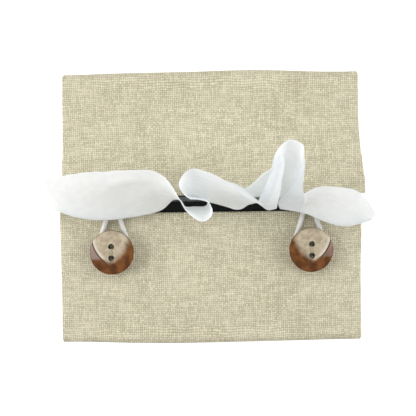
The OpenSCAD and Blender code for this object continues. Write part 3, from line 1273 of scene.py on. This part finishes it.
@dataclass
class Closure:
    """One button with its sewing thread and the cord loop that hooks over it."""

    side: Side
    finishes: Finishes
    lean: float = math.radians(5)
    pivot_x: float = 39.9 * MM
    pivot_y: float = -17.8 * MM
    hole_gap: float = 4.6 * MM
    hole_d: float = 2.4 * MM
    button_t: float = 3.4 * MM
    cord_d: float = 2.0 * MM
    lift: float = 0.15 * MM
    loop_r: float = 5.8 * MM
    root_half: float = 1.15 * MM
    knee_y: float = 0.6 * MM
    strand_r: float = 0.16 * MM
    strand_gap: float = 0.32 * MM
    winding_r: float = 0.72 * MM
    winding_step: float = 0.42 * MM

    @property
    def word(self) -> str:
        """The side as it stands in names."""
        return self.side.name.lower()

    @property
    def body(self) -> Body:
        """The button's own body."""
        return Body.LEFT_BUTTON if self.side is Side.LEFT else Body.RIGHT_BUTTON

    @property
    def shank(self) -> float:
        """How high the button stands above the flap, along its own axis."""
        return self.cord_d + 2 * self.lift + (self.loop_r + self.cord_d / 2) * math.sin(self.lean)

    def placing(self) -> Matrix:
        """Gives the matrix from the button's own axes to the object's."""
        pivot = Vector((self.side.value * self.pivot_x, self.pivot_y, SIZES.top_z))
        return Matrix.Translation(pivot) @ Matrix.Rotation(self.side.value * self.lean, 4, "Y")

    def place(self, points: Grid) -> Grid:
        """Moves points from the button's own axes to the object's."""
        matrix = np.array(self.placing())
        return np.asarray(points, float) @ matrix[:3, :3].T + matrix[:3, 3]

    def build(self) -> list:
        """Makes the button's finish, its thread and its loop.

        Returns:
            The finished pieces.
        """
        return [self.button(), self.thread(), self.loop()]

    def button(self) -> Object:
        """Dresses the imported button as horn.

        Returns:
            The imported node.
        """
        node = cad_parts[f"{self.word}_button"]
        pivot = Vector((self.side.value * self.pivot_x, self.pivot_y, SIZES.top_z))
        horn = Horn(f"{self.word} horn", self.side, pivot, self.side.value * self.lean,
                    self.shank + self.button_t)
        node.data.materials.clear()
        node.data.materials.append(horn.material())
        for polygon in node.data.polygons:
            polygon.use_smooth = True
        node.data.set_sharp_from_angle(angle=math.radians(24))
        LOG.info("%s: packed node, horn finish", node.name)
        return node

    def strand(self, number: int) -> Object:
        """Makes one of the thread's turns: up one hole, over the bridge and down the other.

        Args:
            number: which turn, from 0.

        Returns:
            The strand.
        """
        aside = (number - 1) * self.strand_gap
        y = self.hole_gap / 2 - self.hole_d / 2 + 0.15 * MM
        face = self.shank + self.button_t
        low = self.shank - 0.3 * MM
        key = np.array([
            (0.3 * aside, -y * 0.3, low), (0.5 * aside, -y, self.shank + 0.3 * MM),
            (0.8 * aside, -y, face - 0.6 * MM), (aside, -y + 0.1 * MM, face + 0.02 * MM),
            (aside, 0, face + 0.26 * MM), (aside, y - 0.1 * MM, face + 0.02 * MM),
            (0.8 * aside, y, face - 0.6 * MM), (0.5 * aside, y, self.shank + 0.3 * MM),
            (0.3 * aside, y * 0.3, low)])
        return tube(f"strand_{number}", self.place(spline(key, 42)), self.strand_r, 8)

    def winding(self) -> Object:
        """Makes the shank: thread wound round in a close helix from the knot to the button.

        Returns:
            The winding.
        """
        foot = -1.75 * MM
        top = self.shank - 0.15 * MM
        turns = (top - foot) / self.winding_step
        t = np.linspace(0, 1, int(turns * 16))
        angle = t * turns * 2 * math.pi
        path = np.column_stack([self.winding_r * np.cos(angle), self.winding_r * np.sin(angle),
                                foot + (top - foot) * t])
        return tube("winding", self.place(path), 0.24 * MM, 6)

    def knot(self) -> Object:
        """Makes the knot under the flap: a few crossing turns of thread.

        Returns:
            The knot.
        """
        t = np.linspace(0, 2 * math.pi, 90)
        path = np.column_stack([
            (1.0 + 0.3 * np.cos(3 * t)) * np.cos(2 * t), (1.0 + 0.3 * np.cos(3 * t)) * np.sin(2 * t),
            -2.1 + 0.14 * np.sin(3 * t)]) * MM
        return tube("knot", self.place(path), 0.22 * MM, 8)

    def thread(self) -> Object:
        """Joins the strands, the winding and the knot into the button's sewing thread.

        Returns:
            The finished piece.
        """
        parts = [self.strand(k) for k in range(3)] + [self.winding(), self.knot()]
        piece = join(f"{self.word}_sewing_thread", parts)
        dress(piece, self.finishes.thread, self.body)
        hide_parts(f"{self.word}_button_thread")
        return piece

    def cord_height(self, y: Grid) -> Grid:
        """Gives the height of the cord's middle: it climbs from the looped flap's edge.

        Args:
            y: distances across the slit, in metres.

        Returns:
            The heights, in metres.
        """
        root_z = SIZES.top_z - (SIZES.linen_t + SIZES.lining_t) / 2
        over = SIZES.top_z + self.lift + self.cord_d / 2
        gap = SIZES.back_slit_y - SIZES.front_slit_y
        return root_z + (over - root_z) * smooth((SIZES.back_slit_y - y) / gap)

    def loop_route(self) -> Grid:
        """Lists the cord's middle line from one sewn end, round the button, to the other.

        Returns:
            (points, 3) places in metres.
        """
        end_y = self.pivot_y + 3.2 * MM
        turn = math.asin((self.loop_r - self.root_half) / (self.knee_y - end_y))
        t = np.linspace(0, 1, 70)[:-1]
        low_y = end_y + self.loop_r * math.sin(turn)
        knee = (SIZES.back_slit_y - self.knee_y) / (SIZES.back_slit_y - low_y)
        past = (t - knee) / (1 - knee)
        opened = 0.5 * (past + np.sqrt(past**2 + 0.012)) - 0.5 * (np.sqrt(1 + 0.012) - 1) * t
        x = self.root_half + (self.loop_r * math.cos(turn) - self.root_half) * opened
        y = SIZES.back_slit_y + (end_y + self.loop_r * math.sin(turn) - SIZES.back_slit_y) * t
        a = turn - (math.pi + 2 * turn) * np.linspace(0, 1, 56)
        bend = np.column_stack([self.loop_r * np.cos(a), end_y + self.loop_r * np.sin(a)])
        flat = np.concatenate([np.column_stack([x, y]), bend, np.column_stack([-x, y])[::-1]])
        z = self.cord_height(flat[:, 1])
        return np.column_stack([flat[:, 0] + self.side.value * self.pivot_x, flat[:, 1], z])

    def loop(self) -> Object:
        """Makes the braided cord.

        Returns:
            The finished piece.
        """
        route = self.loop_route()

        def braid(run: float, angles: Grid) -> Grid:
            """Raises the braid's plaits a little around the cord.

            Args:
                run: the distance along the cord, in metres.
                angles: the angles round it.

            Returns:
                A factor on the cord's radius for every angle.
            """
            phase = run / (0.62 * MM)
            one = np.cos(4 * angles + phase * 1.6)
            two = np.cos(4 * angles - phase * 1.6)
            return 0.965 + 0.035 * np.maximum(one, two)

        run = np.concatenate([[0], np.cumsum(np.linalg.norm(np.diff(route, axis=0), axis=1))])
        even = np.linspace(0, run[-1], 300)
        path = np.column_stack([np.interp(even, run, route[:, k]) for k in range(3)])
        piece = tube(f"{self.word}_cord_loop", path, self.cord_d / 2, 20, braid)
        dress(piece, self.finishes.cord, Body.BACK_FLAP)
        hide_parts(f"{self.word}_loop")
        return piece


# ---- the carton ------------------------------------------------------------------------------


@dataclass
class Carton:
    """The card carton, the film under its slot and the block of folded tissues in it."""

    finishes: Finishes
    leaves: int = 44
    columns: int = 30

    def build(self) -> list:
        """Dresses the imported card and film, and makes the block.

        Returns:
            The finished pieces.
        """
        pieces = []
        for name, material in (("carton", self.finishes.card), ("slot_film", self.finishes.film)):
            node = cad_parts[name]
            node.data.materials.clear()
            node.data.materials.append(material)
            LOG.info("%s: packed node, %s", name, material.name)
            pieces.append(node)
        return pieces + [self.block()]

    def block(self) -> Object:
        """Makes the block of folded tissues, with a soft fold line for every leaf.

        Returns:
            The finished piece.
        """
        low, high = (np.array(c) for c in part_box("tissue_stack"))
        rows = self.leaves * 4 + 1
        middle, half = (low + high) / 2, (high - low) / 2
        angles = np.linspace(0, 2 * math.pi, self.columns * 4, endpoint=False)
        power = 0.09
        ring = np.column_stack([np.sign(np.cos(angles)) * np.abs(np.cos(angles)) ** power,
                                np.sign(np.sin(angles)) * np.abs(np.sin(angles)) ** power])
        random = np.random.default_rng(5)
        shifts = random.uniform(-0.35, 0.35, (self.leaves + 1, 2)) * MM
        verts = []
        for k in range(rows):
            t = k / (rows - 1)
            fold = abs(math.sin(t * self.leaves * math.pi))
            size = half[:2] - 0.8 * MM + 0.5 * MM * fold
            centre = middle[:2] + shifts[int(t * self.leaves)] * fold
            height = low[2] + t * (high[2] - low[2])
            for x, y in ring:
                verts.append((centre[0] + x * size[0], centre[1] + y * size[1], height))
        piece = new_object("folded_tissue_block", np.array(verts), ring_faces(rows, len(angles)))
        mark_cloth(piece, np.array(verts) / MM)
        dress(piece, self.finishes.folded, Body.COVER)
        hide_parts("tissue_stack")
        return piece


# ---- the standing tissue ---------------------------------------------------------------------


@dataclass(frozen=True)
class Station:
    """One line of a ply from its free edge down to its foot, in mm above the flaps.

    A point that is left out lies evenly between its neighbours.
    """

    edge: Point
    belly: Point
    root_x: float
    fold: Point = None
    upper: Point = None
    crease: Point = None
    under: Point = None
    root_y: float = 3.1
    foot_y: float = 3.1
    foot_h: float = -6.3

    def points(self) -> Grid:
        """Lists the eight points of the line, from the edge to the foot.

        Returns:
            (8, 3) points in metres.
        """
        root = (self.root_x, self.root_y, 2.0)
        foot = (self.root_x, self.foot_y, self.foot_h)
        line = [self.edge, self.fold, self.upper, self.crease, self.belly, self.under, root, foot]
        known = [k for k, p in enumerate(line) if p is not None]
        filled = np.array([[np.interp(k, known, [line[j][axis] for j in known]) for axis in range(3)]
                           for k in range(len(line))])
        return filled * MM + np.array([0, 0, SIZES.top_z])


@dataclass
class StandingPly:
    """One ply of tissue lofted over its stations."""

    name: str
    control: Grid
    columns: int
    rows: int
    thickness: float = 0.15 * MM
    crinkle: float = 0.16 * MM

    def build(self) -> tuple:
        """Makes the ply.

        Returns:
            The ply, not yet dressed, and its (width, length) laid flat, in metres.
        """
        grid = loft(self.control, self.columns, self.rows)
        loose = smooth((grid[..., 2] - SIZES.top_z - 3.5 * MM) / (8 * MM))
        soft = waves(grid, self.crinkle, 8 * MM, 7) * loose
        grid = grid + grid_normals(grid) * soft[..., None]
        widths = arc_length(grid, 0)[-1]
        flat = (float(widths.mean()), float(arc_length(grid, 1)[:, -1].mean()))
        LOG.info("%s: free edge %.0f mm, foot %.0f mm, %.0f mm tall",
                 self.name, widths[0] / MM, widths[-1] / MM, flat[1] / MM)
        return closed_sheet(self.name, grid, self.thickness), flat


def front_stations() -> Grid:
    """Lists the front ply: a long wing to the left, a curl over the near flap and a lobe.

    Returns:
        (stations, points, 3) places in metres.
    """
    S = Station
    wing = [
        S((-66.2, 11.1, 16), (-62, -0.4, 9), -21, upper=(-64.5, 6.5, 12.5), under=(-45, 1.5, 4.6)),
        S((-57.8, 12.8, 20), (-56.6, -2.6, 7.5), -20.8, upper=(-57.5, 8, 17), crease=(-58, 3, 12.4),
          under=(-42, 0.8, 4.2)),
        S((-48.3, 13.9, 24), (-48.7, -4.3, 6.5), -20.5, upper=(-48, 8.6, 20), crease=(-48.5, 2, 13),
          under=(-36, 0.6, 4)),
        S((-41, 14.1, 26), (-41.5, -4.6, 6), -20.2, upper=(-41, 9, 21), crease=(-41, 3, 13.5),
          under=(-32, 0.4, 3.7)),
        S((-34.5, 14.3, 28), (-33, -3.5, 5.5), -20, upper=(-34.5, 10, 24), crease=(-34, 6.5, 16.5),
          under=(-28, 0.2, 3.2)),
        S((-24.9, 14.5, 30), (-24.7, -2.1, 5.4), -19.8, upper=(-25, 10.5, 25), crease=(-25, 6, 17)),
        S((-19.2, 12.7, 31), (-19.4, -0.4, 6.2), -18.5, upper=(-19.5, 8.5, 24), crease=(-19.5, 5, 15),
          root_y=3.6),
        S((-14.7, 8.1, 31), (-15.3, 3.1, 9), -15, upper=(-15, 6.4, 24), crease=(-15.2, 4.8, 16), root_y=3.7),
    ]
    tucked = {"foot_y": 0.35, "foot_h": -3.2}
    curl = [
        S((-11.8, 2.8, 30), (-12.2, 3, 9), -12.2, upper=(-12, 2.9, 23), crease=(-12.1, 3, 16), root_y=2.6),
        S((-8.9, -1.8, 28), (-10.4, 0.3, 8), -10.4, upper=(-9.3, -1.3, 21),
          crease=(-10, -0.4, 14), root_y=0.4, **tucked),
        S((-4, -5.5, 26), (-6.6, -0.8, 7), -7, upper=(-4, -2.6, 20.5), crease=(-5.4, -1.2, 14), root_y=0.15,
          **tucked),
        S((-0.3, -3.9, 26), (-2.3, -0.6, 8), -2.8, upper=(-0.9, -2, 21), crease=(-1.7, -1, 15), root_y=0.15,
          **tucked),
        S((0.5, -1.2, 27), (-1.1, 0.9, 8), -1.5, upper=(-0.1, -0.5, 23), crease=(-0.8, 0.3, 15), root_y=1.3,
          foot_y=1.3, foot_h=-3.2),
        S((-1.2, 1.7, 28), (-1.5, 2.8, 8), -1.7, upper=(-1.3, 2, 22), crease=(-1.4, 2.5, 15), root_y=2.9),
        S((-4.6, 2.8, 29), (-4.7, 3.6, 8), -4.6, crease=(-4.7, 3.4, 16), root_y=3.4),
        S((-8.4, 3.4, 30), (-8.2, 4.1, 8.5), -8, crease=(-8.3, 3.9, 16), root_y=3.7),
        S((-11, 5.8, 31), (-9.4, 4.5, 9), -8.8, crease=(-9.9, 5, 17), root_y=3.9),
    ]
    lobe = [
        S((-12.2, 8.6, 32), (-9, 4.9, 9), -7.8, upper=(-11.5, 7.4, 24), crease=(-10.2, 5.8, 16), root_y=4.2),
        S((-10.5, 12, 32), (-7.4, 5, 9), -6.6, upper=(-9.8, 9.7, 25), crease=(-8.6, 7, 17), root_y=4.3),
        S((-7, 14.4, 33), (-4.8, 4.2, 8.5), -4.6, upper=(-6.5, 11.6, 26),
          crease=(-5.6, 7.7, 17.5), root_y=4.3),
        S((-2.2, 13.5, 34), (-0.6, 2.2, 7.6), -1, upper=(-1.8, 10.5, 26.5),
          crease=(-1.1, 6.5, 17), root_y=4.2),
        S((2, 11.8, 34), (3.2, 1.1, 6.2), 2.6, upper=(2.3, 9.3, 27), crease=(2.8, 5.6, 17), root_y=4.2),
        S((6.2, 9.2, 34), (6.8, 0, 5.6), 6, fold=(6.2, 9.6, 33.6), upper=(6.1, 8, 27), crease=(6.2, 4.4, 16),
          root_y=4.2),
        S((9.5, 6.6, 32.5), (9.6, -1, 5.3), 9, fold=(9.8, 8.3, 34), upper=(9.5, 6.5, 27),
          crease=(9.4, 2.9, 15), root_y=4.2),
        S((13.3, 3.6, 29.5), (12.2, -0.9, 5.6), 12, fold=(13.2, 6.5, 33), upper=(12.8, 4.8, 25),
          crease=(12.2, 1.8, 14), root_y=4.2),
        S((16.8, 1.6, 27), (15, 0.7, 7), 15, fold=(16.6, 3.3, 30), upper=(16, 2.5, 22),
          crease=(15.3, 1.5, 14), root_y=4.2),
        S((19.6, 0.2, 24.5), (18.4, 1.9, 9), 17.5, fold=(19.4, 0.8, 27), upper=(18.9, 1.2, 20),
          crease=(18.6, 1.7, 14), root_y=4.2),
    ]
    return np.array([station.points() for station in wing + curl + lobe])


def hood_stations() -> Grid:
    """Lists the tall hood of the back ply and its right leg, whose free edge rolls inward.

    Returns:
        (stations, points, 3) places in metres.
    """
    S = Station
    rise = [
        S((11.2, 5.6, 24), (11, 5, 10), 11), S((13.4, 7, 28), (13, 5.4, 12), 12.5),
        S((16.6, 9.5, 32), (16, 6, 13), 15), S((19.8, 12.4, 36), (18.8, 6.6, 15), 17.5),
        S((22.7, 14.3, 38), (21, 7, 16), 20), S((23.7, 18.8, 41), (22.5, 9, 19), 22),
        S((25.8, 21.9, 43), (24.5, 10.5, 21), 24), S((29.1, 24.3, 43), (27.5, 11, 21), 26.5),
        S((32.4, 23.5, 43), (30, 10.5, 20), 29), S((34.5, 21.5, 42), (32, 9, 19), 31),
    ]
    leg = [
        S((34.4, 15.9, 36), (33.5, 7, 17), 31.5, fold=(35.1, 16.5, 39)),
        S((33.3, 12.7, 32), (34.3, 5.5, 15), 32.2, fold=(34.9, 13, 36)),
        S((31.7, 8.7, 27), (35, 4, 13), 32.6, fold=(34.9, 8.5, 30)),
        S((29.9, 5.4, 21), (35.6, 2.5, 12), 33, fold=(35.3, 5.2, 26)),
        S((27.5, 2.9, 15), (36.3, 1, 9), 33.4, fold=(36.3, 2.4, 19)),
        S((26.9, 0.9, 10.5), (36, 0.2, 6.6), 33.7, fold=(35.8, 0, 13)),
        S((27.7, -1.2, 6.4), (35.4, -0.6, 5), 34, fold=(34.4, -2.3, 7.4)),
    ]
    return np.array([replace(s, root_y=4.0, foot_y=3.95).points() for s in rise + leg])


def wing_stations() -> Grid:
    """Lists the wing to the right, partly behind the leg.

    Returns:
        (stations, points, 3) places in metres.
    """
    S = Station
    wing = [
        S((33, 3, 20), (34.2, -2.1, 5), 27, upper=(33.4, 1.4, 14)),
        S((38.9, 6.2, 24), (39, -3.4, 6), 29, upper=(38.6, 3.4, 18), crease=(38, -0.1, 10)),
        S((43.4, 7.4, 23.6), (44.6, -5.9, 6), 30.5, upper=(43.6, 4.2, 19), crease=(43.8, -0.4, 13),
          under=(37, 0.2, 4.6)),
        S((47.8, 7.1, 23), (49.6, -7.7, 7), 31.5, upper=(47.8, 3.6, 19.6), crease=(48.6, -2, 13),
          under=(40, 0, 4.8)),
        S((52.2, 6.8, 22), (53.6, -8.4, 7), 32.3, upper=(52.2, 3, 19), crease=(52.8, -3, 13),
          under=(42, 0, 5)),
        S((57.1, 5.3, 20), (57.5, -7.8, 8), 33, upper=(57, 1, 16.6), crease=(57.2, -3.8, 12),
          under=(44, 0.2, 5.2)),
        S((61.4, 1.8, 17), (61.6, -6.4, 10), 33.5, upper=(61.4, -1.2, 15), under=(46, 0.4, 5.4)),
        S((65.6, -4.1, 13), (63.6, -5.2, 11.4), 34, under=(47, 0.8, 5.6)),
    ]
    return np.array([replace(s, root_y=3.7, foot_y=3.7).points() for s in wing])


def band_stations() -> Grid:
    """Lists the bright band turned forward on the hood's left: its two edges and its middle.

    Returns:
        (stations, points, 3) places in metres.
    """
    left = [(23.7, 18.8, 41), (22.9, 15.2, 38), (21.9, 10.6, 33), (20.2, 6.2, 27), (18.9, 3.2, 22),
            (18.8, 1.6, 16), (20.4, 0.3, 8), (20.8, 3.3, 2), (21, 3.4, -6.3)]
    middle = [(25, 19, 42.5), (25, 15.4, 39.5), (24.6, 10.6, 35), (23.5, 5.8, 29), (22.5, 2.2, 23),
              (22, 0, 14), (23, -1.3, 6.5), (23, 3.3, 2), (23, 3.4, -6.3)]
    right = [(26.5, 19.5, 41.5), (27.3, 16.5, 38.5), (27.1, 11.6, 33), (26.8, 6.9, 26), (26.4, 3, 20),
             (26.3, 0.6, 13), (26.2, -0.8, 6.5), (25.4, 3.3, 2), (25, 3.4, -6.3)]
    return np.array([left, middle, right]) * MM + np.array([0, 0, SIZES.top_z])


@dataclass
class Tissue:
    """The next tissue, drawn up through the slit: two plies, gathered and spread."""

    finishes: Finishes

    def build(self) -> list:
        """Makes both plies.

        Returns:
            The finished pieces.
        """
        front, flat = StandingPly("front_tissue", front_stations(), 330, 54).build()
        self.settle(front, "tissue_front_ply")
        built = [
            StandingPly("hood", hood_stations(), 150, 54).build(),
            StandingPly("right_wing", wing_stations(), 100, 48).build(),
            StandingPly("band", band_stations(), 26, 60).build(),
        ]
        back = join("back_tissue", [piece for piece, _ in built])
        # One cut whose parts lie side by side, as long as they are on average
        self.settle(back, "tissue_back_ply")
        return [front, back]

    def settle(self, piece: Object, node: str) -> None:
        """Args:
            piece: the ply.
            node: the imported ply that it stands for.
        """
        dress(piece, self.finishes.tissue, Body.TISSUE)
        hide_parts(node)


# ---- the studio ------------------------------------------------------------------------------


@dataclass
class Studio:
    """A pale floor, soft lights and a camera straight above."""

    camera_x: float = -1.2 * MM
    camera_y: float = -0.4 * MM
    height: float = 548 * MM
    lens: float = 88.9
    turn: float = math.radians(-0.77)
    left_watts: float = 3.3
    right_watts: float = 2.7
    top_watts: float = 1.4
    sky: float = 0.41

    def build(self) -> None:
        """Sets up the floor, the lights, the sky and the camera."""
        self.floor()
        centre = Vector((0, 0, SIZES.top_z * 0.8))
        self.light("left softbox", (-0.62, 0.05, 0.52), centre, 0.45, self.left_watts)
        self.light("right softbox", (0.66, 0.02, 0.50), centre, 0.45, self.right_watts)
        self.light("overhead", (0.0, 0.45, 0.95), centre, 0.6, self.top_watts)
        world = bpy.data.worlds.new("soft sky")
        world.use_nodes = True
        world.node_tree.nodes["Background"].inputs["Color"].default_value = (1, 1, 1, 1)
        world.node_tree.nodes["Background"].inputs["Strength"].default_value = self.sky
        bpy.context.scene.world = world
        bpy.context.scene.view_settings.view_transform = "Standard"
        self.camera()

    def light(self, name: str, spot: tuple, aim: Vector, size: float, watts: float) -> None:
        """Adds a square soft light.

        Args:
            name: the light's name.
            spot: where it stands, in metres.
            aim: the point that it faces.
            size: its side, in metres.
            watts: its power.
        """
        lamp = bpy.data.lights.new(name, "AREA")
        lamp.size = size
        lamp.energy = watts
        holder = bpy.data.objects.new(name, lamp)
        holder.location = spot
        holder.rotation_euler = (aim - Vector(spot)).to_track_quat("-Z", "Y").to_euler()
        bpy.context.scene.collection.objects.link(holder)

    def floor(self) -> None:
        """Lays the pale floor."""
        half = 1.6
        piece = new_object("pale_floor", np.array([
            (-half, -half, -0.0004), (half, -half, -0.0004), (half, half, -0.0004), (-half, half, -0.0004)]),
            [(0, 1, 2, 3)], False)
        material, n, shader = new_material("pale floor")
        place = solid_place(n)
        tone = n.noise(place, 0.02, 2)
        n.put(shader.inputs["Base Color"], n.mix(tone, (0.93, 0.93, 0.94, 1), (0.97, 0.97, 0.98, 1)))
        shader.inputs["Roughness"].default_value = 0.9
        shader.inputs["Emission Color"].default_value = (1, 1, 1, 1)
        shader.inputs["Emission Strength"].default_value = 0.42
        piece.data.materials.append(material)

    def camera(self) -> None:
        """Places the camera straight above, turned very slightly."""
        lens = bpy.data.cameras.new("camera")
        lens.lens = self.lens
        lens.sensor_width = 36
        lens.clip_start = 0.01
        eye = bpy.data.objects.new("camera", lens)
        eye.location = (self.camera_x, self.camera_y, self.height)
        eye.rotation_euler = (0, 0, self.turn)
        bpy.context.scene.collection.objects.link(eye)
        bpy.context.scene.camera = eye


def main() -> None:
    """Builds the object and its studio."""
    logging.basicConfig(level=logging.INFO, format="%(message)s")
    finishes = Finishes()
    Cover(finishes).build()
    for side in Side:
        Closure(side, finishes).build()
    Carton(finishes).build()
    Tissue(finishes).build()
    Studio().build()


if __name__ == "__main__":
    main()
